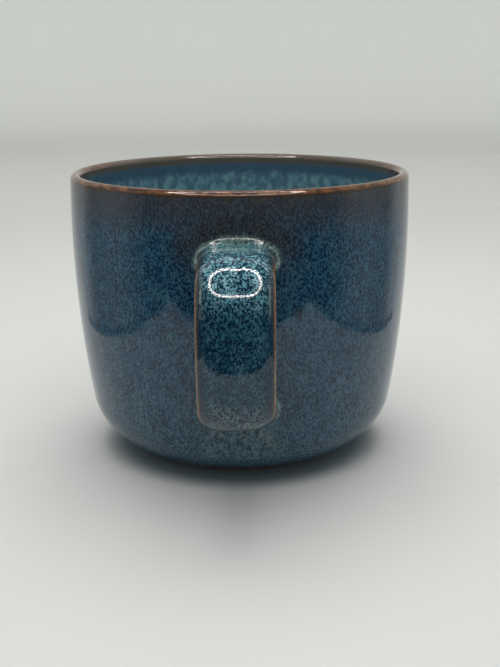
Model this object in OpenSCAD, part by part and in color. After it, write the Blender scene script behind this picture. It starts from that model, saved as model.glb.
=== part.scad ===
// Stoneware mug with a pulled strap handle and a running glaze.
// The body, the handle, the slip that lutes them together and the
// three glaze coats are separate solids that touch face to face.
// Origin: centre of the foot, on the plane it rests on.  +Z up, handle to -Y.

/* [Cup] */
// Outer diameter at the rim, glaze included
rim_d = 95; // [88:0.5:102]
// Height from the table to the crest of the lip
cup_h = 80; // [74:0.5:90]
// Wall thickness at the lip, glaze included
lip_t = 3.0; // [2.6:0.1:3.6]
// Height of the inside floor above the table
floor_z = 5.4; // [5:0.1:7]

/* [Foot] */
// Outer diameter of the unglazed foot ring
foot_d = 56.8; // [54:0.2:58]
// Width of the foot ring where it meets the table
foot_w = 3.0; // [2.2:0.1:4]
// Height of the recess inside the foot ring
recess_h = 1.9; // [1.4:0.1:2.2]

/* [Handle] */
// Width of the strap, glaze included
strap_w = 18.3; // [16:0.1:20]
// Thickness of the strap, glaze included
strap_t = 6.8; // [6:0.1:7.4]
// Crown of the strap's outer face
crown = 1.15; // [0.6:0.05:1.4]
// Height of the strap's centre line where it leaves the wall at the top
top_z = 64; // [62:0.5:66]
// Straight run out of the wall before the upper bend, from the cup's axis
run_y = 59.5; // [58:0.5:61]
// Centre line radius of the upper bend
bend_top = 11; // [10:0.5:12]
// Centre line radius of the long grip
bend_grip = 50; // [46:1:56]
// Centre line radius of the lower bend
bend_low = 10; // [9.5:0.5:11]

/* [Glaze] */
// Thickness of every glaze coat
glaze_t = 0.4; // [0.3:0.05:0.5]
// Height of the glaze line above the table
glaze_line = 1.6; // [1.5:0.1:2.2]

/* [Slip joints] */
// How far the slip fillet spreads past the strap at the wall
fillet = 1.6; // [1.2:0.1:2.2]
// Radius of the finished fillet between strap and wall
fillet_r = 2.4; // [2.2:0.1:3.6]

/* [Hidden] */
$fn = 96;
e = 0.01;
R = rim_d / 2;
H = cup_h;
lr = lip_t / 2;
lc = [R - lr, H - lr];
fr = foot_d / 2;
n_wall = 12;
n_low = 12;

function bz(p, t) = p[0]*pow(1-t,3) + 3*p[1]*t*pow(1-t,2) + 3*p[2]*t*t*(1-t) + p[3]*pow(t,3);
function bd(p, t) = 3*(p[1]-p[0])*pow(1-t,2) + 6*(p[2]-p[1])*t*(1-t) + 3*(p[3]-p[2])*t*t;
// point of a curve moved by d along its left normal
function bo(p, t, d) = let(v = bd(p, t)) bz(p, t) + d * [-v[1], v[0]] / norm(v);

// outside curves of the finished mug, radius and height
wall_o = [[R-3.7, 0.2*H], [R-0.5, 0.4375*H], [R+0.8, 0.7125*H], [R, H-lr]];
low_o  = [[fr+0.2, 1.2], [fr+7.1, 3.0], [R-5.1, 7.6], [R-3.7, 0.2*H]];
// inside curves of the finished mug
low_i  = [[0, floor_z], [30, floor_z], [R-8.5, 10.1], [R-6.9, 0.25*H]];
wall_i = [[R-6.9, 0.25*H], [R-4.3, 0.45*H], [R-2.6, 0.725*H], [R-lip_t, H-lr]];

// polylines, d moves them into the clay
function outer_line(d) = concat(
    [for (i = [0:n_low-1]) bo(low_o, i/n_low, d)],
    [for (i = [0:n_wall-1]) bo(wall_o, i/n_wall, d)],
    [[R-d, H-lr]]);
function inner_line(d) = concat(
    [for (i = [0:n_low-1]) i == 0 ? [0, floor_z-d] : bo(low_i, i/n_low, -d)],
    [for (i = [0:n_wall-1]) bo(wall_i, i/n_wall, -d)],
    [[R-lip_t+d, H-lr]]);
// arc of the lip, from angle a to angle b, left out at both ends
function lip_arc(d, a, b, n=8) = [for (i = [1:n-1]) let(s = a+(b-a)*i/n) lc + (lr-d)*[cos(s), sin(s)]];
function crest(d) = [lc[0], H-d];
function rev(l) = [for (i = [len(l)-1:-1:0]) l[i]];

// clay section, foot ring to lip
module clay_section() {
    polygon(concat(
        [[0, recess_h + 0.3], [fr-foot_w-3, recess_h], [fr-foot_w-0.6, recess_h-0.4],
         [fr-foot_w, 0.35], [fr-foot_w+0.35, 0], [fr-0.35, 0], [fr, 0.35], [fr, glaze_line]],
        [for (p = outer_line(glaze_t)) if (p[1] > glaze_line + 0.1) p],
        lip_arc(glaze_t, 0, 90), [crest(glaze_t)], lip_arc(glaze_t, 90, 180),
        rev(inner_line(glaze_t))));
}

// Everything outside the finished outer surface, used to end the strap at the wall
module cup_block(d) {
    rotate_extrude($fn = 180)
        polygon(concat([[0, 0.5]], [for (p = outer_line(d)) if (p[1] > 0.5) p], [[0, H-lr]]));
}

// ---- strap cross-section, x across the width, y outward ----
ns = 26;
function sg(v) = v < 0 ? -1 : 1;
function pw(v, k) = sg(v) * pow(abs(v), k);
function sec(w, t) = [for (i = [0:ns-1]) let(q = 360*i/ns, k = pw(cos(q), 0.62), v = pw(sin(q), 0.72))
    [w/2 * k, (t/2 - (v > 0 ? crown * pow(abs(k), 3) : 0.35*k*k)) * v]];

// ---- strap centre line: y outward, height, heading, distance from the wall ----
a1 = 82;
a2 = 103.5;
a3 = 165;
c1 = [run_y, top_z - bend_top];
c2 = c1 + (bend_top - bend_grip) * [sin(a1), cos(a1)];
c3 = c2 + (bend_grip - bend_low) * [sin(a2), cos(a2)];
q3 = c3 + bend_low * [sin(a3), cos(a3)];
up_wall = R + 0.1;                                  // where the upper run meets the wall
low_wall = (q3[0] - (R - 2.5)) / cos(180 - a3);     // length of the lower run to the wall
function spread(d) = d < 0 ? fillet : d > fillet_r ? 0
    : min(fillet, fillet_r - sqrt(fillet_r*fillet_r - pow(fillet_r - d, 2)));
steps = [-5, -2, -1.2, -0.7, -0.2, 0.2, 0.6, 1.1, 1.7, 2.4, 3.4];
function arc(c, r, a) = [c[0] + r*sin(a), c[1] + r*cos(a), a, 99];
path = concat(
    [for (d = steps) [up_wall + d, top_z, 0, d]],
    [for (i = [0:8]) arc(c1, bend_top, a1*i/8)],
    [for (i = [1:4]) arc(c2, bend_grip, a1 + (a2-a1)*i/4)],
    [for (i = [1:6]) arc(c3, bend_low, a2 + (a3-a2)*i/6)],
    [for (d = rev(steps)) let(l = low_wall - d)
        [q3[0] + l*cos(a3), q3[1] - l*sin(a3), a3, d]]);
np = len(path);
nf = len(steps);

// one ring of points at a station, d insets it from the finished surface
// the wall curves away to the sides, so the fillet's spread is found point by point
function ring(s, d, on) = let(n = [sin(s[2]), cos(s[2])], q = sec(strap_w - 2*d, strap_t - 2*d))
    [for (i = [0:ns-1]) let(
        x = q[i][0], g = on ? spread(s[3] + R - sqrt(R*R - x*x)) : 0,
        p = g > 0 ? sec(strap_w - 2*d + 2*g, strap_t - 2*d + 2*g)[i] : q[i])
        [p[0], -(s[0] + p[1]*n[0]), s[1] + p[1]*n[1]]];
function flat(l) = [for (a = l) for (b = a) b];
// quads of a tube between rings, base is the first point's number
function skin(m, base, out) = [for (j = [0:m-2]) for (i = [0:ns-1])
    let(a = base+j*ns+i, b = base+j*ns+(i+1)%ns)
    out ? [a, b, b+ns, a+ns] : [a, a+ns, b+ns, b]];

// solid bar through the stations first..last
module bar(first, last, d, on) {
    m = last - first + 1;
    polyhedron(convexity = 6,
        points = flat([for (j = [first:last]) ring(path[j], d, on)]),
        faces = concat(skin(m, 0, true), [[for (i = [ns-1:-1:0]) i]], [[for (i = [0:ns-1]) (m-1)*ns+i]]));
}
// tube: outside inset by d0, inside inset by d1, with the fillet's spread on each or not
module sleeve(first, last, d0, on0, d1, on1) {
    m = last - first + 1;
    k = m*ns;
    polyhedron(convexity = 6,
        points = flat(concat([for (j = [first:last]) ring(path[j], d0, on0)],
                             [for (j = [first:last]) ring(path[j], d1, on1)])),
        faces = concat(skin(m, 0, true), skin(m, k, false),
            [for (i = [0:ns-1]) let(n = (i+1)%ns) [n, i, k+i, k+n]],
            [for (i = [0:ns-1]) let(n = (i+1)%ns, e = (m-1)*ns) [e+i, e+n, k+e+n, k+e+i]]));
}

module cup_body() {
    color("tan")
        rotate_extrude($fn = 180) clay_section();
}

module handle() {
    color("tan") difference() {
        bar(0, np-1, glaze_t, false);
        cup_block(glaze_t);
    }
}

module upper_slip_joint() {
    color("burlywood") difference() {
        sleeve(0, nf-3, glaze_t, true, glaze_t + 0.02, false);
        cup_block(glaze_t);
    }
}

module lower_slip_joint() {
    color("burlywood") difference() {
        sleeve(np-nf+2, np-1, glaze_t, true, glaze_t + 0.02, false);
        cup_block(glaze_t);
    }
}

module outer_glaze() {
    color("steelblue") difference() {
        rotate_extrude($fn = 180)
            polygon(concat(
                [[fr, glaze_line]], [for (p = outer_line(0)) if (p[1] > glaze_line + 0.1) p],
                lip_arc(0, 0, 90), [crest(0), crest(glaze_t)], lip_arc(glaze_t, 90, 0),
                rev([for (p = outer_line(glaze_t)) if (p[1] > glaze_line + 0.1) p])));
        translate([0, -38, top_z]) rotate([90, 0, 0])
            linear_extrude(14) polygon(sec(strap_w + 2*fillet, strap_t + 2*fillet));
        translate([0, -q3[0], q3[1]]) rotate([a3 - 180, 0, 0]) rotate([90, 0, 0])
            translate([0, 0, -low_wall - 6]) linear_extrude(14) mirror([0, 1, 0])
                polygon(sec(strap_w + 2*fillet, strap_t + 2*fillet));
    }
}

module liner_glaze() {
    color("cadetblue")
        rotate_extrude($fn = 180)
            polygon(concat(inner_line(0), rev(lip_arc(0, 90, 180)), [crest(0), crest(glaze_t)],
                lip_arc(glaze_t, 90, 180), rev(inner_line(glaze_t))));
}

module handle_glaze() {
    color("teal") difference() {
        sleeve(0, np-1, 0, true, glaze_t, true);
        cup_block(glaze_t);
    }
}

cup_body();
handle();
upper_slip_joint();
lower_slip_joint();
outer_glaze();
liner_glaze();
handle_glaze();
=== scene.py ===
import bpy, math
import numpy as np
from mathutils import Matrix, Vector


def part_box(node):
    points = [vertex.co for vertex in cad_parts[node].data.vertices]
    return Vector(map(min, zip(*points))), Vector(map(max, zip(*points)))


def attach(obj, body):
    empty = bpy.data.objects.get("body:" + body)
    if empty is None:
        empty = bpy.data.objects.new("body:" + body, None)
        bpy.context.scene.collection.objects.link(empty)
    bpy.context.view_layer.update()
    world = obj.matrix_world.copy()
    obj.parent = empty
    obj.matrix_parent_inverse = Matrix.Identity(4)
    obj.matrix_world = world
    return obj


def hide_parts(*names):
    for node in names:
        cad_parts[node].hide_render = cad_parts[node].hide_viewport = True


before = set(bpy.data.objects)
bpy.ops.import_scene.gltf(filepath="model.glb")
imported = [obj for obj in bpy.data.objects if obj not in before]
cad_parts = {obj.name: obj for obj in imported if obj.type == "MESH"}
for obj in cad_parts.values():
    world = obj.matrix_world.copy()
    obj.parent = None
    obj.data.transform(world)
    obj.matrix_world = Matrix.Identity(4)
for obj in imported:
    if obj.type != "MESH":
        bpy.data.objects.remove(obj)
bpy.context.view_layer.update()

BODY = "root"
scene = bpy.context.scene
scene.view_settings.view_transform = "Standard"
scene.view_settings.look = "None"

# ------------------------------------------------------------------ sizes
# The same driving sizes as the CAD model, in millimetres; K carries the CAD model's own height.
top = float(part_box("outer_glaze")[1][2])
K = top / 0.080 * 0.001          # metres per model millimetre
R, H, LIP, FLOOR = 47.5, 80.0, 3.0, 5.4
LR = LIP / 2
LC = np.array([R - LR, H - LR])
FR = 28.4
GT = 0.4
SW, ST, CROWN = 18.3, 6.8, 1.15
TOPZ, RUNY = 64.0, 59.5
B1, B2, B3 = 11.0, 50.0, 10.0
A1, A2, A3 = math.radians(82), math.radians(103.5), math.radians(165)

WALL_O = np.array([[R-3.7, 0.2*H], [R-0.5, 0.4375*H], [R+0.8, 0.7125*H], [R, H-LR]])
LOW_O = np.array([[FR+0.2, 1.2], [FR+7.1, 3.0], [R-5.1, 7.6], [R-3.7, 0.2*H]])
LOW_I = np.array([[0, FLOOR], [30, FLOOR], [R-8.5, 10.1], [R-6.9, 0.25*H]])
WALL_I = np.array([[R-6.9, 0.25*H], [R-4.3, 0.45*H], [R-2.6, 0.725*H], [R-LIP, H-LR]])


def bez(p, t):
    t = np.asarray(t)[:, None]
    return p[0]*(1-t)**3 + 3*p[1]*t*(1-t)**2 + 3*p[2]*t*t*(1-t) + p[3]*t**3


def arc2(c, r, a, b, n):
    s = np.radians(np.linspace(a, b, n))
    return np.stack([c[0] + r*np.cos(s), c[1] + r*np.sin(s)], 1)


def smooth(a, b, x):
    t = np.clip((x - a) / (b - a), 0, 1)
    return t*t*(3 - 2*t)


def poly_sdf(P, Q, closed=True):
    """Signed distance from points P (n,2) to the closed polygon Q (m,2), negative inside."""
    A = Q
    B = np.roll(Q, -1, 0)
    D = B - A
    L = (D**2).sum(1) + 1e-18
    out = np.empty(len(P))
    for s in range(0, len(P), 20000):
        p = P[s:s+20000]
        v = p[:, None, :] - A[None]
        t = np.clip((v*D[None]).sum(2) / L[None], 0, 1)
        d = v - t[..., None]*D[None]
        dist = np.sqrt((d**2).sum(2).min(1))
        yi, yj = A[None, :, 1], B[None, :, 1]
        c = (yi > p[:, None, 1]) != (yj > p[:, None, 1])
        xc = A[None, :, 0] + (p[:, None, 1] - yi) / np.where(np.abs(yj - yi) < 1e-12, 1e-12, yj - yi) * D[None, :, 0]
        ins = ((c & (p[:, None, 0] < xc)).sum(1) % 2) == 1
        out[s:s+20000] = np.where(ins, -dist, dist)
    return out


class Table:
    """A distance function of two variables, tabled and read back by smooth interpolation."""
    def __init__(self, fn, lo, hi, step):
        self.lo, self.step = np.array(lo, float), step
        n = [int(round((hi[i] - lo[i]) / step)) + 1 for i in (0, 1)]
        x = lo[0] + step*np.arange(n[0])
        y = lo[1] + step*np.arange(n[1])
        X, Y = np.meshgrid(x, y, indexing="ij")
        self.v = fn(np.stack([X.ravel(), Y.ravel()], 1)).reshape(n)

    def __call__(self, x, y):
        n0, n1 = self.v.shape
        u = np.clip((x - self.lo[0]) / self.step, 1, n0 - 3)
        w = np.clip((y - self.lo[1]) / self.step, 1, n1 - 3)
        i, j = np.floor(u).astype(int), np.floor(w).astype(int)
        fu, fw = u - i, w - j

        def wt(f):   # quadratic-smooth cubic b-spline weights
            return [(1-f)**3/6, (3*f**3 - 6*f*f + 4)/6, (-3*f**3 + 3*f*f + 3*f + 1)/6, f**3/6]
        a, b = wt(fu), wt(fw)
        r = 0.0
        for p in range(4):
            for q in range(4):
                r = r + a[p]*b[q]*self.v[i+p-1, j+q-1]
        return r


# outline of the finished cup, foot line to crest on the outside, then down the inside
outer_pts = np.concatenate([bez(LOW_O, np.linspace(0, 1, 60))[:-1], bez(WALL_O, np.linspace(0, 1, 90))[:-1],
                            arc2(LC, LR, 0, 90, 26)])
inner_pts = np.concatenate([arc2(LC, LR, 90, 180, 26), bez(WALL_I, np.linspace(1, 0, 90))[1:],
                            bez(LOW_I, np.linspace(1, 0, 80))[1:]])
cup_poly = np.concatenate([[[0, 1.35], [FR - 0.2, 1.35], [FR + 0.05, 1.40]], outer_pts[1:], inner_pts[1:]])
cup_tab = Table(lambda p: poly_sdf(p, cup_poly), (24.0, -4.0), (84.0, 86.0), 0.12)


def section(w, t, n=420):
    q = np.linspace(0, 2*np.pi, n, endpoint=False)
    c, s = np.cos(q), np.sin(q)
    k = np.sign(c)*np.abs(c)**0.62
    v = np.sign(s)*np.abs(s)**0.72
    return np.stack([w/2*k, (t/2 - np.where(v > 0, CROWN*np.abs(k)**3, 0.35*k*k))*v], 1)


sec_poly = section(SW, ST)
sec_tab = Table(lambda p: poly_sdf(p, sec_poly), (-17.0, -12.0), (17.0, 12.0), 0.1)

C1 = np.array([RUNY, TOPZ - B1])
C2 = C1 + (B1 - B2)*np.array([math.sin(A1), math.cos(A1)])
C3 = C2 + (B2 - B3)*np.array([math.sin(A2), math.cos(A2)])
Q3 = C3 + B3*np.array([math.sin(A3), math.cos(A3)])
T3 = np.array([math.cos(A3), -math.sin(A3)])      # heading of the lower run
LEN1 = RUNY - 40.0
S1, S2, S3 = LEN1, LEN1 + B1*A1, LEN1 + B1*A1 + B2*(A2 - A1)
S4 = S3 + B3*(A3 - A2)


def strap_coords(u, z):
    """Distance from the strap's centre line towards its outer face, and length along the line."""
    best = np.full(u.shape, 1e9)
    p = np.zeros(u.shape)
    s = np.zeros(u.shape)

    def take(d, pp, ss):
        nonlocal best, p, s
        m = d < best
        best = np.where(m, d, best)
        p = np.where(m, pp, p)
        s = np.where(m, ss, s)
    # upper run
    t = np.clip(u - 40.0, 0, LEN1)
    take(np.hypot(u - 40.0 - t, z - TOPZ), z - TOPZ, t)
    for c, r, a, b, s0 in ((C1, B1, 0.0, A1, S1), (C2, B2, A1, A2, S2), (C3, B3, A2, A3, S3)):
        ang = np.arctan2(u - c[0], z - c[1])
        rad = np.hypot(u - c[0], z - c[1])
        ac = np.clip(ang, a, b)
        d = np.hypot(u - c[0] - r*np.sin(ac), z - c[1] - r*np.cos(ac))
        take(d, (rad - r), s0 + r*(ac - a))
    t = np.clip((u - Q3[0])*T3[0] + (z - Q3[1])*T3[1], 0, 26.0)
    d = np.hypot(u - Q3[0] - t*T3[0], z - Q3[1] - t*T3[1])
    n3 = np.array([math.sin(A3), math.cos(A3)])
    take(d, (u - Q3[0])*n3[0] + (z - Q3[1])*n3[1], S4 + t)
    return p, s


def f_cup(x, y, z):
    return cup_tab(np.hypot(x, y), z)


TWIST = math.radians(2.2)


def f_strap(x, y, z):
    p, s = strap_coords(-y, z)
    # a pulled strap is never quite square: it rolls a little about its centre line
    tw = TWIST * smooth(S2 + 8, S4, s) * (1 - smooth(S4 + 4, S4 + 16, s))
    return sec_tab(x*np.cos(tw) - p*np.sin(tw), p*np.cos(tw) + x*np.sin(tw))


BLEND = 2.4                      # radius of the wiped slip fillet


def smin(a, b, k):
    """Union of two distances with a round fillet of radius k."""
    return np.maximum(k, np.minimum(a, b)) - np.hypot(np.maximum(k - a, 0), np.maximum(k - b, 0))


def f_all(x, y, z):
    a = f_cup(x, y, z)
    b = f_strap(x, y, z)
    return smin(a, b, BLEND)


def grad(fn, P, h=0.12):
    g = np.empty_like(P)
    for i in range(3):
        d = np.zeros(3)
        d[i] = h
        a, b = P + d, P - d
        g[:, i] = (fn(*a.T) - fn(*b.T)) / (2*h)
    return g


def near_handle(P):
    th = np.degrees(np.arctan2(P[:, 0], -P[:, 1]))
    return (np.abs(th) < 22)


def field(P):
    out = f_cup(*P.T)
    m = near_handle(P)
    if m.any():
        out[m] = f_all(*P[m].T)
    return out


def field3(x, y, z):
    return field(np.stack([x, y, z], 1))


def project(P, it=4):
    for _ in range(it):
        f = field(P)
        g = grad(field3, P)
        P = P - f[:, None]*g / np.maximum((g**2).sum(1), 0.05)[:, None]
    return P


# ------------------------------------------------------------------ outer coat: surface nets on a cylindrical grid
def levels(parts):
    out = [parts[0][0]]
    for a, b, st in parts:
        n = max(1, int(round((b - a) / st)))
        out += list(a + (b - a)*np.arange(1, n + 1) / n)
    return np.array(out)


th_deg = levels([(-20, 20, 0.42), (20, 340, 0.92)])[:-1]      # 0 points along -Y
TH = np.radians(th_deg)
RL = levels([(27.0, 44.0, 0.62), (44.0, 46.0, 0.5), (46.0, 48.4, 0.3), (48.4, 76.0, 0.55)])
ZL = levels([(0.9, 4.0, 0.42), (4.0, 18.0, 0.58), (18.0, 70.0, 0.62), (70.0, 76.5, 0.6), (76.5, 80.6, 0.26)])
JC = int(np.argmin(np.abs(RL - 46.0)))
nT, nR, nZ = len(TH), len(RL), len(ZL)
RR, ZZ = np.meshgrid(RL, ZL, indexing="ij")
base = f_cup(RR.ravel(), np.zeros(RR.size), ZZ.ravel()).reshape(nR, nZ)
F = np.repeat(base[None], nT, 0)
hm = np.abs(((th_deg + 180) % 360) - 180) < 21
ti = np.where(hm)[0]
x = RR[None]*np.sin(TH[ti])[:, None, None]
y = -RR[None]*np.cos(TH[ti])[:, None, None]
z = np.broadcast_to(ZZ[None], x.shape)
F[ti] = f_all(x.ravel(), y.ravel(), z.ravel()).reshape(x.shape)
F = F.astype(np.float64)
F[np.abs(F) < 1e-7] = 1e-7
S = F < 0


def corner(A, a, b, c):
    A = np.roll(A, -a, 0)
    return A[:, b:nR-1+b, c:nZ-1+c]


cnt = sum(corner(S, a, b, c).astype(np.int8) for a in (0, 1) for b in (0, 1) for c in (0, 1))
active = (cnt > 0) & (cnt < 8)
acc = np.zeros(active.shape + (3,))
num = np.zeros(active.shape)
for ax in range(3):
    for o1 in (0, 1):
        for o2 in (0, 1):
            a = [0, 0, 0]
            others = [k for k in range(3) if k != ax]
            a[others[0]], a[others[1]] = o1, o2
            b = list(a)
            b[ax] = 1
            Fa, Fb = corner(F, *a), corner(F, *b)
            m = ((Fa < 0) != (Fb < 0)) & active
            t = np.where(m, Fa / np.where(np.abs(Fa - Fb) < 1e-12, 1, Fa - Fb), 0)
            for k in range(3):
                val = a[k] + (t if k == ax else 0.0)
                acc[..., k] += np.where(m, val, 0)
            num += m
idx = np.argwhere(active)
w = acc[active] / num[active][:, None]
vid = -np.ones(active.shape, int)
vid[active] = np.arange(len(idx))
TH2 = np.append(TH, TH[0] + 2*np.pi)
tc = TH2[idx[:, 0]] + (TH2[idx[:, 0]+1] - TH2[idx[:, 0]])*w[:, 0]
rc = RL[idx[:, 1]] + (RL[idx[:, 1]+1] - RL[idx[:, 1]])*w[:, 1]
zc = ZL[idx[:, 2]] + (ZL[idx[:, 2]+1] - ZL[idx[:, 2]])*w[:, 2]
V = np.stack([rc*np.sin(tc), -rc*np.cos(tc), zc], 1)

quads = []
# edges along theta: cells around (b,c)
def add(q, flip):
    m = (q >= 0).all(1)
    q, flip = q[m], flip[m]
    q[flip] = q[flip][:, ::-1]
    quads.append(q)


e = S != np.roll(S, -1, 0)
i, j, k = np.nonzero(e[:, 1:-1, 1:-1]); j += 1; k += 1
add(np.stack([vid[i, j-1, k-1], vid[i, j, k-1], vid[i, j, k], vid[i, j-1, k]], 1), S[i, j, k])
e = S[:, :-1] != S[:, 1:]
i, j, k = np.nonzero(e[:, :, 1:-1]); k += 1
add(np.stack([vid[i-1, j, k-1], vid[i, j, k-1], vid[i, j, k], vid[i-1, j, k]], 1), ~S[i, j, k])
e = S[:, :, :-1] != S[:, :, 1:]
i, j, k = np.nonzero(e[:, 1:-1]); j += 1
add(np.stack([vid[i-1, j-1, k], vid[i, j-1, k], vid[i, j, k], vid[i-1, j, k]], 1), S[i, j, k])
Q = np.concatenate(quads)

V = project(V, 4)
rr = np.hypot(V[:, 0], V[:, 1])
cell_j = idx[:, 1]
# keep the outside only: nothing inside the crest circle above the floor, nothing under the foot line
keepv = ~((cell_j < JC) & (V[:, 2] > 60)) & ~((rr < 27.7) | ((rr < 43) & (V[:, 2] > 20)))
keepv &= ~((rr < R - 3.9) & (V[:, 2] > 18)) & ~((rr < 40) & (V[:, 2] > 8.5))
keepv &= ~((V[:, 2] > FLOOR - 0.6) & (rr < 34))
# inside wall vertices face the axis
g0 = grad(field3, V)
radial = (g0[:, 0]*V[:, 0] + g0[:, 1]*V[:, 1]) / rr
keepv &= ~((radial < -0.3) & (rr < R - 0.3) & (V[:, 2] > FLOOR))
Q = Q[keepv[Q].all(1)]
used = np.unique(Q)
remap = -np.ones(len(V), int)
remap[used] = np.arange(len(used))
V, Q, cell_j = V[used], remap[Q], cell_j[used]
# face orientation: outwards
fn_ = np.cross(V[Q[:, 2]] - V[Q[:, 0]], V[Q[:, 3]] - V[Q[:, 1]])
gc = grad(field3, V[Q].mean(1))
bad = (fn_*gc).sum(1) < 0
Q[bad] = Q[bad][:, ::-1]


def edges_of(Q):
    E = np.concatenate([Q[:, [a, (a+1) % 4]] for a in range(4)])
    Es = np.sort(E, 1)
    U, c = np.unique(Es, axis=0, return_counts=True)
    return U, c


E, ec = edges_of(Q)
bnd = np.zeros(len(V), bool)
bnd[E[ec == 1].ravel()] = True


def relax(V, n, lam=0.5):
    deg = np.bincount(E.ravel(), minlength=len(V)).astype(float)
    for _ in range(n):
        s = np.zeros_like(V)
        for k_ in range(3):
            s[:, k_] = np.bincount(E[:, 0], V[E[:, 1], k_], len(V)) + np.bincount(E[:, 1], V[E[:, 0], k_], len(V))
        D = s / deg[:, None] - V
        D[bnd] = 0
        V = project(V + lam*D, 1)
    return V


V = relax(V, 4)
V = project(V, 2)
crest = bnd & (V[:, 2] > 70)
a_ = np.arctan2(V[crest, 0], -V[crest, 1])
V[crest] = np.stack([(R-LR)*np.sin(a_), -(R-LR)*np.cos(a_), np.full(crest.sum(), H)], 1)
N = grad(field3, V, 0.10)
N[crest] = [0, 0, 1]
N /= np.linalg.norm(N, axis=1)[:, None]


def lap(V, h):
    c = field(V)
    s = -6*c
    for i in range(3):
        for sg in (1, -1):
            d = np.zeros(3)
            d[i] = sg*h
            s = s + field(V + d)
    return s/(h*h)


curv = lap(V, 1.0)
curv_w = lap(V, 2.4)
m_ = near_handle(V)
strapd = np.full(len(V), 30.0)
strapd[m_] = f_strap(*V[m_].T)
# further round the cup the distance still matters for the halo
walld = f_cup(*V.T)
crest_angles = np.sort(np.arctan2(V[crest, 0], -V[crest, 1]))

# split: the handle's own coat starts half way up the fillet
fmid = (strapd[Q].mean(1) < walld[Q].mean(1)) & (walld[Q].mean(1) > 0.35)


def build(name, V, Q, N, attrs, replaces=(), body=BODY):
    used = np.unique(Q)
    remap = -np.ones(len(V), int)
    remap[used] = np.arange(len(used))
    v = V[used]*K
    q = remap[Q]
    me = bpy.data.meshes.new(name)
    me.vertices.add(len(v))
    me.vertices.foreach_set("co", v.astype(np.float32).ravel())
    nq = len(q)
    me.loops.add(q.size)
    me.loops.foreach_set("vertex_index", q.astype(np.int32).ravel())
    me.polygons.add(nq)
    me.polygons.foreach_set("loop_start", np.arange(0, q.size, q.shape[1], dtype=np.int32))
    me.polygons.foreach_set("use_smooth", np.ones(nq, bool))
    me.update(calc_edges=True)
    me.validate()
    for k_, a in attrs.items():
        at = me.attributes.new(k_, "FLOAT", "POINT")
        at.data.foreach_set("value", a[used].astype(np.float32))
    me.normals_split_custom_set_from_vertices([tuple(n) for n in N[used]])
    ob = bpy.data.objects.new(name, me)
    bpy.context.collection.objects.link(ob)
    if replaces:
        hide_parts(*replaces)
    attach(ob, body)
    return ob


attrs = {"curv": curv, "curvw": curv_w, "strapd": strapd, "walld": walld}
outer = build("glaze_outside", V, Q[~fmid], N, attrs, ("outer_glaze",))
hglaze = build("glaze_handle", V, Q[fmid], N, attrs, ("handle_glaze",))
print("outer coat", len(Q[~fmid])*2, "handle coat", len(Q[fmid])*2, "triangles")


# ------------------------------------------------------------------ revolved pieces
def revolve(prof, ang, close_axis=True, closed_prof=False):
    """Points of a profile (r, z) turned about Z at the given angles."""
    n, m = len(prof), len(ang)
    P = np.empty((n, m, 3))
    P[..., 0] = prof[:, 0, None]*np.sin(ang)
    P[..., 1] = -prof[:, 0, None]*np.cos(ang)
    P[..., 2] = prof[:, 1, None]
    return P


def coat_mesh(name, prof, nrm, ang, attrs, replaces):
    """Revolved open sheet whose last profile point is on the axis."""
    n, m = len(prof) - 1, len(ang)
    P = revolve(prof[:-1], ang)
    v = np.concatenate([P.reshape(-1, 3), [[0, 0, prof[-1, 1]]]])
    NN = np.empty((n, m, 3))
    NN[..., 0] = nrm[:-1, 0, None]*np.sin(ang)
    NN[..., 1] = -nrm[:-1, 0, None]*np.cos(ang)
    NN[..., 2] = nrm[:-1, 1, None]
    NN = np.concatenate([NN.reshape(-1, 3), [[0, 0, nrm[-1, 1]]]])
    j = np.arange(m)
    faces = []
    for i in range(n - 1):
        a, b = i*m + j, i*m + (j+1) % m
        faces += np.stack([a, b, b + m, a + m], 1).tolist()
    c = n*m
    a, b = (n-1)*m + j, (n-1)*m + (j+1) % m
    faces += np.stack([a, b, np.full(m, c)], 1).tolist()
    me = bpy.data.meshes.new(name)
    me.from_pydata((v*K).tolist(), [], faces)
    f0 = me.polygons[0]
    if f0.normal.dot(Vector(NN[0])) < 0:
        me.flip_normals()
    me.polygons.foreach_set("use_smooth", np.ones(len(me.polygons), bool))
    for k_, at_ in attrs.items():
        at = me.attributes.new(k_, "FLOAT", "POINT")
        full = np.concatenate([np.repeat(at_[:-1], m), at_[-1:]])
        at.data.foreach_set("value", full.astype(np.float32))
    me.normals_split_custom_set_from_vertices([tuple(q) for q in NN])
    ob = bpy.data.objects.new(name, me)
    bpy.context.collection.objects.link(ob)
    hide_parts(*replaces)
    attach(ob, BODY)
    return ob


def resample(P, steps):
    """Points along a polyline at the given spacings (a function of arc length share)."""
    d = np.concatenate([[0], np.cumsum(np.linalg.norm(np.diff(P, axis=0), axis=1))])
    s = [0.0]
    while s[-1] < d[-1]:
        s.append(s[-1] + steps(s[-1], d[-1]))
    s = np.array(s)
    s = s*d[-1]/s[-1]
    return np.stack([np.interp(s, d, P[:, 0]), np.interp(s, d, P[:, 1])], 1)


def normals2(P, sign):
    T = np.gradient(P, axis=0)
    n = np.stack([T[:, 1], -T[:, 0]], 1)*sign
    return n / np.linalg.norm(n, axis=1)[:, None]


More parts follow.
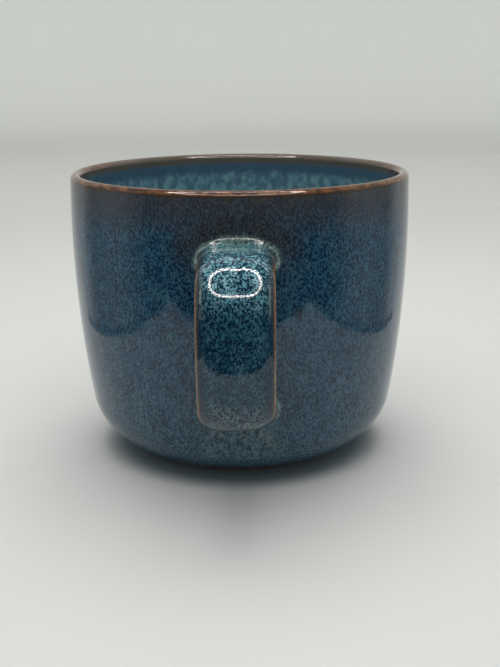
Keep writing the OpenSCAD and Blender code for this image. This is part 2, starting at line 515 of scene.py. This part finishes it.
dense_in = np.concatenate([arc2(LC, LR, 90, 180, 60), bez(WALL_I, np.linspace(1, 0, 300))[1:],
                           bez(LOW_I, np.linspace(1, 0, 400))[1:]])
prof_i = resample(dense_in, lambda s, L: 0.24 if s < 4 else (0.24 + (s - 4)*0.06 if s < 12 else 0.72))
nrm_i = normals2(prof_i, 1.0)
if nrm_i[0, 1] < 0:
    nrm_i = -nrm_i
nrm_i[0] = [0, 1]
nrm_i[-1] = [0, 1]
curv_i = np.zeros(len(prof_i))
sd = 1.0
for a in range(len(prof_i)):
    p = prof_i[a:a+1]
    q = np.array([[0, 0], [sd, 0], [-sd, 0], [0, sd], [0, -sd]]) + p
    f = poly_sdf(q, cup_poly)
    curv_i[a] = (f[1:].sum() - 4*f[0]) / sd**2
ang_i = crest_angles
liner = coat_mesh("glaze_inside", prof_i, nrm_i, ang_i,
                  {"curv": curv_i, "curvw": curv_i, "strapd": np.full(len(prof_i), 30.0), "walld": np.zeros(len(prof_i))},
                  ("liner_glaze",))
print("liner", len(prof_i)*len(ang_i)*2, "triangles", len(ang_i))

# ------------------------------------------------------------------ slip joints: the same solids, kept under the finished skin
def pressed(name, node, depth):
    src = bpy.data.objects[node]
    me = src.data.copy()
    me.name = name
    W = np.array(src.matrix_world)
    n_ = len(me.vertices)
    co = np.empty(n_*3)
    me.vertices.foreach_get("co", co)
    P = (np.c_[co.reshape(-1, 3), np.ones(n_)] @ W.T)[:, :3] / K
    for _ in range(8):
        f = field(P)
        m = f > -depth
        if not m.any():
            break
        g_ = grad(field3, P[m])
        P[m] = P[m] - ((f[m] + depth) / np.maximum((g_**2).sum(1), 0.05))[:, None]*g_
    print(name, "pressed", int((field(P) > -depth + 0.05).sum()), "points left proud")
    me.vertices.foreach_set("co", (P*K).ravel())
    me.update()
    ob = bpy.data.objects.new(name, me)
    bpy.context.collection.objects.link(ob)
    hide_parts(node)
    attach(ob, BODY)
    return ob


slip_up = pressed("slip_upper", "upper_slip_joint", 0.35)
slip_low = pressed("slip_lower", "lower_slip_joint", 0.35)

# ------------------------------------------------------------------ camera, at the fitted viewpoint
def camera():
    r = 47.5*K
    pos = Vector((0.0541*r, -6.015*r, 2.351*r))
    yaw = math.radians(0.56)
    pitch = math.radians(15.66)
    roll = math.radians(-0.45)
    M = Matrix.Rotation(yaw, 3, "Z")
    right0 = M @ Vector((1, 0, 0))
    fwd = M @ Vector((0, math.cos(pitch), -math.sin(pitch)))
    up0 = right0.cross(fwd)
    c, s = math.cos(roll), math.sin(roll)
    right = c*right0 + s*up0
    up = -s*right0 + c*up0
    cam = bpy.data.cameras.new("camera")
    cam.sensor_width = 36.0
    cam.lens = 1000.0*36.0/667.0
    cam.clip_start = 0.01
    cam.clip_end = 20
    ob = bpy.data.objects.new("camera", cam)
    m = Matrix((right, up, -fwd)).transposed().to_4x4()
    m.translation = M @ pos
    ob.matrix_world = m
    bpy.context.collection.objects.link(ob)
    scene.camera = ob
    return ob


camera()


# ------------------------------------------------------------------ stage: a round pale sweep, so that every side has the same background
def mesh_object(name, verts, faces, smooth_=True):
    me = bpy.data.meshes.new(name)
    me.from_pydata(verts, [], faces)
    me.polygons.foreach_set("use_smooth", np.ones(len(me.polygons), bool) if smooth_ else np.zeros(len(me.polygons), bool))
    ob = bpy.data.objects.new(name, me)
    bpy.context.collection.objects.link(ob)
    return ob


def sweep():
    rad, rise = 1.25, 0.55
    prof = [(0.0, 0.0)] + [(float(r_), 0.0) for r_ in np.linspace(0.1, rad, 14)]
    prof += [(rad + rise*math.sin(t_), rise*(1 - math.cos(t_))) for t_ in np.radians(np.linspace(6, 90, 15))]
    prof += [(rad + rise, z_) for z_ in (0.8, 1.2, 1.7)]
    m = 96
    verts = [(0, 0, 0)]
    for r_, z_ in prof[1:]:
        verts += [(r_*math.cos(2*math.pi*a/m), r_*math.sin(2*math.pi*a/m), z_) for a in range(m)]
    faces = [(0, 1 + a, 1 + (a+1) % m) for a in range(m)]
    for i_ in range(len(prof) - 2):
        o1, o2 = 1 + i_*m, 1 + (i_+1)*m
        faces += [(o1 + a, o2 + a, o2 + (a+1) % m, o1 + (a+1) % m) for a in range(m)]
    return mesh_object("floor", verts, faces)


class Nodes:
    """A short hand for building a node tree."""
    def __init__(self, name):
        self.mat = bpy.data.materials.new(name)
        self.mat.use_nodes = True
        self.t = self.mat.node_tree
        self.t.nodes.clear()

    def new(self, kind, **kw):
        nd = self.t.nodes.new(kind)
        for k_, v_ in kw.items():
            setattr(nd, k_, v_)
        return nd

    def put(self, sock, v_):
        if isinstance(v_, bpy.types.NodeSocket):
            self.t.links.new(v_, sock)
        elif v_ is not None:
            if hasattr(sock.default_value, "__len__") and len(sock.default_value) == 4 and len(v_) == 3:
                v_ = tuple(v_) + (1.0,)
            sock.default_value = v_

    def math(self, op, a, b=None, c=None, clamp=False):
        nd = self.new("ShaderNodeMath", operation=op, use_clamp=clamp)
        for s_, v_ in zip(nd.inputs, (a, b, c)):
            self.put(s_, v_)
        return nd.outputs[0]

    def vmul(self, a, v_):
        nd = self.new("ShaderNodeVectorMath", operation="MULTIPLY")
        self.put(nd.inputs[0], a)
        nd.inputs[1].default_value = v_
        return nd.outputs[0]

    def vadd(self, a, b):
        nd = self.new("ShaderNodeVectorMath", operation="ADD")
        self.put(nd.inputs[0], a)
        self.put(nd.inputs[1], b)
        return nd.outputs[0]

    def noise(self, vec, scale, detail=2.0, rough=0.5, dist=0.0, lac=2.0):
        nd = self.new("ShaderNodeTexNoise")
        self.put(nd.inputs["Vector"], vec)
        nd.inputs["Scale"].default_value = scale
        nd.inputs["Detail"].default_value = detail
        nd.inputs["Roughness"].default_value = rough
        nd.inputs["Lacunarity"].default_value = lac
        nd.inputs["Distortion"].default_value = dist
        return nd.outputs["Fac"]

    def ramp(self, x, a, b, lo=0.0, hi=1.0):
        """Smooth step from lo at a to hi at b."""
        nd = self.new("ShaderNodeMapRange", interpolation_type="SMOOTHSTEP")
        self.put(nd.inputs["Value"], x)
        self.put(nd.inputs["From Min"], a)
        self.put(nd.inputs["From Max"], b)
        self.put(nd.inputs["To Min"], lo)
        self.put(nd.inputs["To Max"], hi)
        return nd.outputs["Result"]

    def lin(self, x, a, b, lo=0.0, hi=1.0):
        nd = self.new("ShaderNodeMapRange", interpolation_type="LINEAR")
        self.put(nd.inputs["Value"], x)
        for k_, v_ in zip(("From Min", "From Max", "To Min", "To Max"), (a, b, lo, hi)):
            self.put(nd.inputs[k_], v_)
        return nd.outputs["Result"]

    def mix(self, f, a, b):
        nd = self.new("ShaderNodeMix", data_type="RGBA", clamp_factor=True)
        self.put(nd.inputs["Factor"], f)
        self.put(nd.inputs[6], a)
        self.put(nd.inputs[7], b)
        return nd.outputs[2]

    def attr(self, name):
        nd = self.new("ShaderNodeAttribute", attribute_type="GEOMETRY", attribute_name=name)
        return nd.outputs["Fac"]

    def place(self):
        """Object coordinates in millimetres, and their parts."""
        tc = self.new("ShaderNodeTexCoord")
        p_ = self.vmul(tc.outputs["Object"], (1/K,)*3)
        sp = self.new("ShaderNodeSeparateXYZ")
        self.put(sp.inputs[0], p_)
        return p_, sp.outputs[0], sp.outputs[1], sp.outputs[2]

    def finish(self, colour, rough, height=None, distance=0.0, **uniform):
        b_ = self.new("ShaderNodeBsdfPrincipled")
        o_ = self.new("ShaderNodeOutputMaterial")
        self.put(b_.inputs["Base Color"], colour)
        self.put(b_.inputs["Roughness"], rough)
        for k_, v_ in uniform.items():
            b_.inputs[k_.replace("_", " ")].default_value = v_
        if height is not None:
            bp = self.new("ShaderNodeBump")
            bp.inputs["Strength"].default_value = 1.0
            bp.inputs["Distance"].default_value = distance
            self.put(bp.inputs["Height"], height)
            self.put(b_.inputs["Normal"], bp.outputs[0])
        self.put(o_.inputs[0], b_.outputs[0])
        return self.mat


# ------------------------------------------------------------------ glazes
DARK = (0.0030, 0.0180, 0.0410)
DEEP = (0.0032, 0.0140, 0.0340)
TEAL = (0.0270, 0.0930, 0.1580)
PALE = (0.3000, 0.4300, 0.4500)
BAND_D = (0.0300, 0.0360, 0.0460)
BAND_L = (0.0510, 0.0680, 0.0950)
OLIVE = (0.0850, 0.0620, 0.0300)
COPPER = (0.1850, 0.0850, 0.0400)
RUST = (0.0700, 0.0400, 0.0270)
CREAM = (0.1700, 0.2850, 0.2600)


def glaze(name, kind):
    g = Nodes(name)
    p_, x_, y_, z_ = g.place()
    curv_ = g.attr("curv")
    curvw_ = g.attr("curvw")
    sd_ = g.attr("strapd")
    wd_ = g.attr("walld")
    # the melt runs down the wall before it freezes, so the crystals are longer than they are wide
    run = g.vmul(p_, (1.0, 1.0, 0.66))
    broad = g.noise(p_, 0.085, 3, 0.55)
    cloud = g.noise(run, 0.32, 3, 0.6)
    if kind == "outer":
        n1 = g.noise(run, 2.05, 2.5, 0.60, 0.25)
        th = g.math("MULTIPLY_ADD", g.math("ADD", g.math("MULTIPLY", cloud, 0.6), g.math("MULTIPLY", broad, 0.4)), -0.22, 0.585)
        speck = g.ramp(g.math("SUBTRACT", n1, th), -0.085, 0.125)
    elif kind == "handle":
        n1 = g.noise(g.vmul(p_, (1.0, 1.0, 0.70)), 1.95, 3.0, 0.60, 0.9)
        th = g.math("MULTIPLY_ADD", cloud, -0.18, 0.590)
        speck = g.ramp(g.math("SUBTRACT", n1, th), -0.045, 0.085)
        speck = g.mix(g.ramp(z_, 56.0, 64.0), speck, g.ramp(g.math("SUBTRACT", n1, th), 0.012, 0.052))
    else:
        n1 = g.noise(g.vmul(p_, (1.0, 1.0, 0.72)), 0.44, 3.0, 0.62, 0.3)
        th = g.math("MULTIPLY_ADD", cloud, -0.22, 0.58)
        speck = g.ramp(g.math("SUBTRACT", n1, th), -0.10, 0.14)
    fine = g.noise(run, 3.1, 2, 0.5)
    speck = g.math("MULTIPLY_ADD", g.math("SUBTRACT", fine, 0.5), 0.55, speck, clamp=True)

    dark = g.mix(g.ramp(broad, 0.40, 0.62), DARK, DEEP)
    if kind == "liner":
        light = g.mix(g.ramp(cloud, 0.42, 0.64), (0.112, 0.250, 0.310), (0.178, 0.340, 0.390))
        dark = g.mix(0.85, dark, (0.090, 0.182, 0.246))
    elif kind == "handle":
        # the melt collects on the strap's shoulder and thins down its front; the upper strap is also painted paler as
        # painted light, standing in for the lamp above lighting its top
        upper_pale_and_lit = g.ramp(z_, 53.0, 65.5)
        light = g.mix(upper_pale_and_lit, g.mix(g.ramp(cloud, 0.42, 0.66), (0.022, 0.090, 0.136), (0.042, 0.112, 0.148)),
                      g.mix(g.ramp(cloud, 0.42, 0.66), (0.155, 0.400, 0.480), (0.320, 0.570, 0.630)))
    else:
        light = g.mix(g.ramp(cloud, 0.42, 0.66), TEAL, (0.042, 0.112, 0.165))
        light = g.mix(g.ramp(z_, 34.0, 12.0, 0.0, 0.6), light, (0.052, 0.132, 0.185))
    if kind == "handle":
        ax = g.math("ABSOLUTE", x_)
        low_ = g.math("MULTIPLY", g.ramp(z_, 37.0, 29.5), g.ramp(ax, 8.4, 4.5))
        light = g.mix(g.math("MULTIPLY", low_, 0.9), light, (0.125, 0.185, 0.195))
        # painted shade: the strap's front is darkened towards its two side edges
        light = g.mix(g.math("MULTIPLY", g.ramp(ax, 5.8, 8.4), 0.72), light, dark)
    col = g.mix(speck, dark, light)

    if kind != "handle":
        # thinner at the top of the wall: the glaze breaks brown, then copper on the lip
        wob = g.math("MULTIPLY", g.math("SUBTRACT", g.noise(g.vmul(p_, (1, 1, 0.15)), 0.30, 3, 0.6), 0.5), 7.0)
        zz = g.math("ADD", z_, wob)
        if kind == "outer":
            band = g.ramp(zz, 65.0, 77.0)
            spk2 = g.ramp(g.math("SUBTRACT", n1, 0.5), -0.04, 0.16)
            col = g.mix(band, col, g.mix(spk2, BAND_D, BAND_L))
            ol = g.math("MULTIPLY", g.ramp(zz, 76.0, 79.2), g.ramp(g.noise(run, 0.55, 3, 0.65), 0.40, 0.62))
            col = g.mix(g.math("MULTIPLY", ol, 0.55), col, OLIVE)
            col = g.mix(g.ramp(curv_, 0.10, 0.40), col, (0.045, 0.030, 0.022))
        else:
            inb = g.math("ADD", z_, g.math("MULTIPLY", wob, 0.35))
            col = g.mix(g.math("MULTIPLY", g.ramp(inb, 72.6, 75.2), 0.92), col, (0.048, 0.098, 0.152))
            col = g.mix(g.ramp(z_, 76.4, 77.8), col, (0.105, 0.093, 0.076))
        lip = g.ramp(curv_, 0.36, 0.68)
        lipc = g.mix(g.ramp(g.noise(g.vmul(p_, (1, 1, 2.2)), 0.42, 3, 0.65), 0.40, 0.62), COPPER, RUST)
        lipc = g.mix(g.ramp(y_, 5.0, 32.0), lipc, (0.130, 0.110, 0.090))
        up = g.ramp(z_, 70.0, 76.0)
        col = g.mix(g.math("MULTIPLY", lip, up), col, lipc)
    if kind != "liner":
        # around the strap: a dark thin ring on the wall, then the pale melt that pools in the fillet
        onwall = g.ramp(wd_, 1.6, 0.3)
        jit = g.math("SUBTRACT", g.noise(p_, 0.55, 2, 0.5), 0.5)
        sdn = g.math("ADD", sd_, g.math("MULTIPLY", jit, 1.6))
        ring_ = g.math("MULTIPLY", g.ramp(sdn, 9.5, 3.6), onwall)
        ring_ = g.math("MULTIPLY", ring_, g.ramp(z_, 58.0, 69.0, 0.18, 0.80))
        col = g.mix(ring_, col, g.mix(speck, (0.022, 0.021, 0.022), (0.040, 0.048, 0.055)))
        turn = g.math("MULTIPLY", g.ramp(g.math("ABSOLUTE", x_), 4.0, 8.0), g.ramp(z_, 62.0, 65.0))
        sdl = g.math("MULTIPLY_ADD", turn, 0.75, sd_)
        fleck = g.ramp(g.noise(run, 2.3, 3, 0.65), 0.40, 0.60)
        pool = g.math("MULTIPLY", g.ramp(curvw_, -0.05, -0.20), fleck)
        edge = g.math("MULTIPLY", g.ramp(g.math("MULTIPLY_ADD", jit, 1.4, sdl), 2.7, 1.5), onwall)
        pool = g.math("MAXIMUM", pool, g.math("MULTIPLY", edge, fleck))
        pool = g.math("MULTIPLY", pool, g.ramp(z_, 24.0, 60.0, 0.30, 0.72))
        col = g.mix(pool, col, CREAM)
        # painted highlight: a pale broken line along the fillet's outer edge, standing in for the lamp's reflection
        # there
        fillet_glint = g.ramp(g.math("ABSOLUTE", g.math("SUBTRACT", sdl, 1.25)), 0.55, 0.08)
        fillet_glint = g.math("MULTIPLY", g.math("MULTIPLY", fillet_glint, onwall), g.ramp(g.noise(p_, 0.9, 3, 0.6), 0.42, 0.60))
        fillet_glint = g.math("MULTIPLY", fillet_glint, g.ramp(z_, 22.0, 60.0, 0.30, 0.60))
        col = g.mix(fillet_glint, col, (0.420, 0.480, 0.430))
        # strap edges: thin, so they break rust brown, with a paler line inside
        onstrap = g.math("MULTIPLY", g.ramp(wd_, 0.5, 2.2), g.ramp(sd_, 1.5, 0.5))
        e1 = g.math("MULTIPLY", g.ramp(curv_, 0.16, 0.32), onstrap)
        e2 = g.math("MULTIPLY", g.ramp(curv_, 0.34, 0.56), onstrap)
        col = g.mix(g.math("MULTIPLY", e1, 0.60), col, (0.040, 0.040, 0.040))
        col = g.mix(e2, col, g.mix(g.ramp(g.noise(p_, 0.5, 3, 0.6), 0.40, 0.62), (0.120, 0.056, 0.030), (0.175, 0.100, 0.044)))
        rim = g.ramp(g.math("ABSOLUTE", g.math("SUBTRACT", g.math("ABSOLUTE", x_), 7.7)), 0.42, 0.10)
        rim = g.math("MULTIPLY", g.math("MULTIPLY", rim, g.ramp(z_, 54.0, 57.5)), g.ramp(z_, 63.5, 61.0))
        rim = g.math("MULTIPLY", g.math("MULTIPLY", rim, g.ramp(g.noise(g.vmul(p_, (1, 1, 0.3)), 1.0, 3, 0.6), 0.38, 0.56)), onstrap)
        col = g.mix(g.math("MULTIPLY", rim, 0.55), col, (0.230, 0.290, 0.260))
    if kind == "outer":
        # where the strap shelters the wall the melt stays thick and blotched
        ax = g.math("ABSOLUTE", x_)
        m1 = g.math("MULTIPLY", g.ramp(ax, 12.5, 6.5), g.ramp(z_, 6.5, 10.5))
        m1 = g.math("MULTIPLY", m1, g.ramp(z_, 22.0, 18.0))
        m1 = g.math("MULTIPLY", m1, g.ramp(y_, -20.0, -30.0))
        blob = g.ramp(g.noise(g.vmul(p_, (1, 1, 0.66)), 0.80, 3, 0.66, 0.5), 0.46, 0.60)
        col = g.mix(g.math("MULTIPLY", m1, g.math("MULTIPLY", blob, 0.85)), col, g.mix(g.ramp(g.noise(p_, 0.30, 2, 0.5), 0.42, 0.58), (0.125, 0.185, 0.175), (0.085, 0.150, 0.205)))
        # painted shade: the glaze is darkened to deep navy towards the bare foot, over the lowest few millimetres and
        # most in the last millimetre, deepening the contact shadow
        col = g.mix(g.math("MULTIPLY", g.ramp(z_, 7.0, 2.6), 0.65), col, (0.006, 0.019, 0.032))
        foot = g.ramp(z_, 2.4, 1.7)
        col = g.mix(g.math("MULTIPLY", foot, 0.8), col, (0.008, 0.018, 0.026))
    rough = g.lin(g.noise(run, 0.7, 2, 0.5), 0.3, 0.7, 0.045, 0.085)
    h_ = g.math("ADD", g.math("MULTIPLY", g.noise(p_, 0.16, 2, 0.5), 1.0), g.math("MULTIPLY", n1, 0.16))
    return g.finish(col, rough, h_, 0.00006, IOR=1.48)


def clay(name, colour, speck_colour, grain=1.0):
    g = Nodes(name)
    p_, x_, y_, z_ = g.place()
    body_ = g.noise(p_, 0.22, 4, 0.6)
    grit = g.noise(p_, 2.6*grain, 3, 0.6)
    iron = g.ramp(g.noise(p_, 1.15*grain, 2, 0.5), 0.66, 0.72)
    c1 = tuple(c*0.78 for c in colour)
    col = g.mix(g.ramp(body_, 0.35, 0.65), c1, colour)
    col = g.mix(g.math("MULTIPLY", g.ramp(grit, 0.45, 0.62), 0.30), col, tuple(min(1, c*1.18) for c in colour))
    col = g.mix(g.math("MULTIPLY", iron, 0.8), col, speck_colour)
    rough = g.lin(grit, 0.3, 0.7, 0.72, 0.92)
    # turning rings on the foot, and the grain of the clay
    rr_ = g.math("SQRT", g.math("ADD", g.math("MULTIPLY", x_, x_), g.math("MULTIPLY", y_, y_)))
    rings = g.math("SINE", g.math("MULTIPLY_ADD", rr_, 7.5, g.math("MULTIPLY", body_, 4.0)))
    h_ = g.math("ADD", g.math("MULTIPLY", grit, 0.8), g.math("MULTIPLY", rings, 0.12))
    if name == "stoneware_cup":
        # painted shade: the outside of the foot is darkened to navy near the floor, deepening the contact shadow
        painted_foot_shade = g.math("MULTIPLY", g.ramp(rr_, 26.6, 27.6), g.ramp(z_, 0.15, 0.6))
        col = g.mix(g.math("MULTIPLY", painted_foot_shade, 0.9), col, (0.016, 0.026, 0.034))
    return g.finish(col, rough, h_, 0.00006, IOR=1.45)


def assign(ob, mat):
    ob.data.materials.clear()
    ob.data.materials.append(mat)
    if len(ob.data.polygons):
        ob.data.polygons.foreach_set("material_index", np.zeros(len(ob.data.polygons), np.int32))


assign(outer, glaze("reactive_glaze_outside", "outer"))
assign(hglaze, glaze("reactive_glaze_handle", "handle"))
assign(liner, glaze("reactive_glaze_inside", "liner"))
STONE = (0.215, 0.150, 0.105)
SLIP = (0.300, 0.230, 0.175)
assign(bpy.data.objects["cup_body"], clay("stoneware_cup", STONE, (0.10, 0.06, 0.04)))
assign(bpy.data.objects["handle"], clay("stoneware_handle", STONE, (0.10, 0.06, 0.04)))
for ob in (slip_up, slip_low):
    assign(ob, clay("clay_" + ob.name, SLIP, (0.20, 0.15, 0.11), 1.8))

# ------------------------------------------------------------------ light
floor = sweep()
g = Nodes("sweep_paper")
p_, x_, y_, z_ = g.place()
out_ = g.math("SQRT", g.math("ADD", g.math("MULTIPLY", x_, x_), g.math("MULTIPLY", y_, y_)))
floor_col = g.mix(g.noise(p_, 0.004, 3, 0.5), (0.655, 0.655, 0.645), (0.675, 0.675, 0.665))
# painted shade and light on the sweep: darker from 120 to 480 mm out, paler again from 900 mm on the far sweep,
# standing in for the uneven lighting of the box
floor_col = g.mix(g.ramp(out_, 120.0, 480.0), floor_col, (0.565, 0.570, 0.555))
floor_col = g.mix(g.ramp(out_, 900.0, 1750.0), floor_col, (0.87, 0.88, 0.855))
# a painted tint under the cup's round bottom, which deepens the contact shadow
floor_col = g.mix(g.ramp(out_, 43.5, 33.5), floor_col, (0.230, 0.285, 0.335))
assign(floor, g.finish(floor_col, 0.9, g.noise(p_, 0.8, 3, 0.6), 0.00002, IOR=1.3))
floor.visible_glossy = True


def flag(name, verts, faces, lit=False):
    """A card that only reflections see: the light box's side walls, and the dark room in front of it."""
    ob = mesh_object(name, verts, faces, False)
    g = Nodes(name)
    e_ = g.new("ShaderNodeEmission")
    e_.inputs[0].default_value = (0.96, 1.0, 1.0, 1)
    p_, x_, y_, z_ = g.place()
    v_ = g.lin(g.noise(p_, 0.01, 2, 0.5), 0.0, 1.0, 0.008, 0.016)
    if lit:
        a_ = g.ramp(y_, -115.0, -45.0, 0.0, 0.42)
        b_ = g.math("MULTIPLY", g.ramp(y_, -28.0, 8.0), -0.17)
        c_ = g.ramp(y_, 14.0, 56.0, 0.0, 0.32)
        w_ = g.math("ADD", g.math("ADD", a_, b_), c_)
        w_ = g.math("MULTIPLY", w_, g.ramp(z_, 1.0, 7.0, 0.35, 1.0))
        v_ = g.math("ADD", v_, w_)
    g.put(e_.inputs[1], v_)
    o_ = g.new("ShaderNodeOutputMaterial")
    g.put(o_.inputs[0], e_.outputs[0])
    assign(ob, g.mat)
    ob.visible_camera = False
    ob.visible_diffuse = False
    ob.visible_shadow = False
    ob.visible_transmission = False
    ob.visible_volume_scatter = False
    return ob


X0, YF, YB, ZW, XO, YO, ZC = 0.137, -0.150, 0.075, 0.22, 0.46, -0.62, 0.60
flag("side_left", [(-X0, YF, 0), (-X0, YB, 0), (-X0, YB, ZW), (-X0, YF, ZW)], [(0, 1, 2, 3)], True)
flag("side_right", [(X0, YF, 0), (X0, YB, 0), (X0, YB, ZW), (X0, YF, ZW)], [(0, 1, 2, 3)], True)
flag("room_front", [(-XO, YF, 0.001), (XO, YF, 0.001), (XO, YO, 0.001), (-XO, YO, 0.001), (XO, YO, ZC), (-XO, YO, ZC)], [(0, 1, 2, 3), (3, 2, 4, 5)])
flag("room_sides", [(-XO, YO, 0), (-XO, YB, 0), (-XO, YB, ZC), (-XO, YO, ZC), (XO, YO, 0), (XO, YB, 0), (XO, YB, ZC), (XO, YO, ZC)], [(0, 1, 2, 3), (4, 5, 6, 7)])
flag("room_top", [(-XO, YO, ZC), (XO, YO, ZC), (XO, 0.30, ZC), (-XO, 0.30, ZC)], [(0, 1, 2, 3)])


def bead_ring(c, radii, count, size, strength):
    """A lamp of small bulbs in two staggered rows on a hoop, seen only as its reflection."""
    verts, faces = [], []
    for k_ in range(2*count):
        a = math.pi*k_/count
        radius = radii[k_ % 2]
        cx, cy, cz = c[0] + radius*math.cos(a), c[1] + radius*math.sin(a), c[2]
        o = len(verts)
        n1, n2 = 8, 4
        verts.append((cx, cy, cz - size/2))
        for i_ in range(1, n2):
            t_ = math.pi*i_/n2
            for j_ in range(n1):
                b_ = 2*math.pi*j_/n1
                verts.append((cx + size/2*math.sin(t_)*math.cos(b_), cy + size/2*math.sin(t_)*math.sin(b_), cz - size/2*math.cos(t_)))
        verts.append((cx, cy, cz + size/2))
        for j_ in range(n1):
            faces.append((o, o + 1 + (j_+1) % n1, o + 1 + j_))
            for i_ in range(n2 - 2):
                a1 = o + 1 + i_*n1
                faces.append((a1 + j_, a1 + (j_+1) % n1, a1 + n1 + (j_+1) % n1, a1 + n1 + j_))
            a1 = o + 1 + (n2-2)*n1
            faces.append((a1 + j_, a1 + (j_+1) % n1, len(verts) - 1))
    ob = mesh_object("ring_lamp", verts, faces)
    g = Nodes("ring_lamp")
    e_ = g.new("ShaderNodeEmission")
    e_.inputs[0].default_value = (1.0, 0.90, 0.88, 1)
    e_.inputs[1].default_value = strength
    o_ = g.new("ShaderNodeOutputMaterial")
    g.put(o_.inputs[0], e_.outputs[0])
    assign(ob, g.mat)
    ob.visible_camera = False
    ob.visible_diffuse = False
    ob.visible_shadow = False
    ob.visible_transmission = False
    ob.visible_volume_scatter = False
    return ob


bead_ring((-0.004, -0.150, 0.300), (0.1400, 0.1540), 36, 0.0115, 62.0)


def area(name, loc, target, size, energy, colour):
    l_ = bpy.data.lights.new(name, "AREA")
    l_.shape = "DISK"
    l_.size = size
    l_.energy = energy
    l_.color = colour
    ob = bpy.data.objects.new(name, l_)
    d_ = Vector(target) - Vector(loc)
    ob.rotation_mode = "QUATERNION"
    ob.location = loc
    ob.rotation_quaternion = d_.to_track_quat("-Z", "Y")
    ob.visible_glossy = False
    bpy.context.collection.objects.link(ob)
    return ob


area("softbox", (0.0, 0.36, 1.12), (0, 0, 0), 0.9, 5.6, (1.0, 0.99, 0.96))
area("hoop_glow", (0.0, -0.17, 0.42), (0, -0.01, 0.05), 0.30, 0.35, (1.0, 0.96, 0.95))
w_ = bpy.data.worlds.new("studio")
scene.world = w_
w_.use_nodes = True
bg = w_.node_tree.nodes["Background"]
bg.inputs[0].default_value = (0.98, 1.0, 1.0, 1)
bg.inputs[1].default_value = 0.75
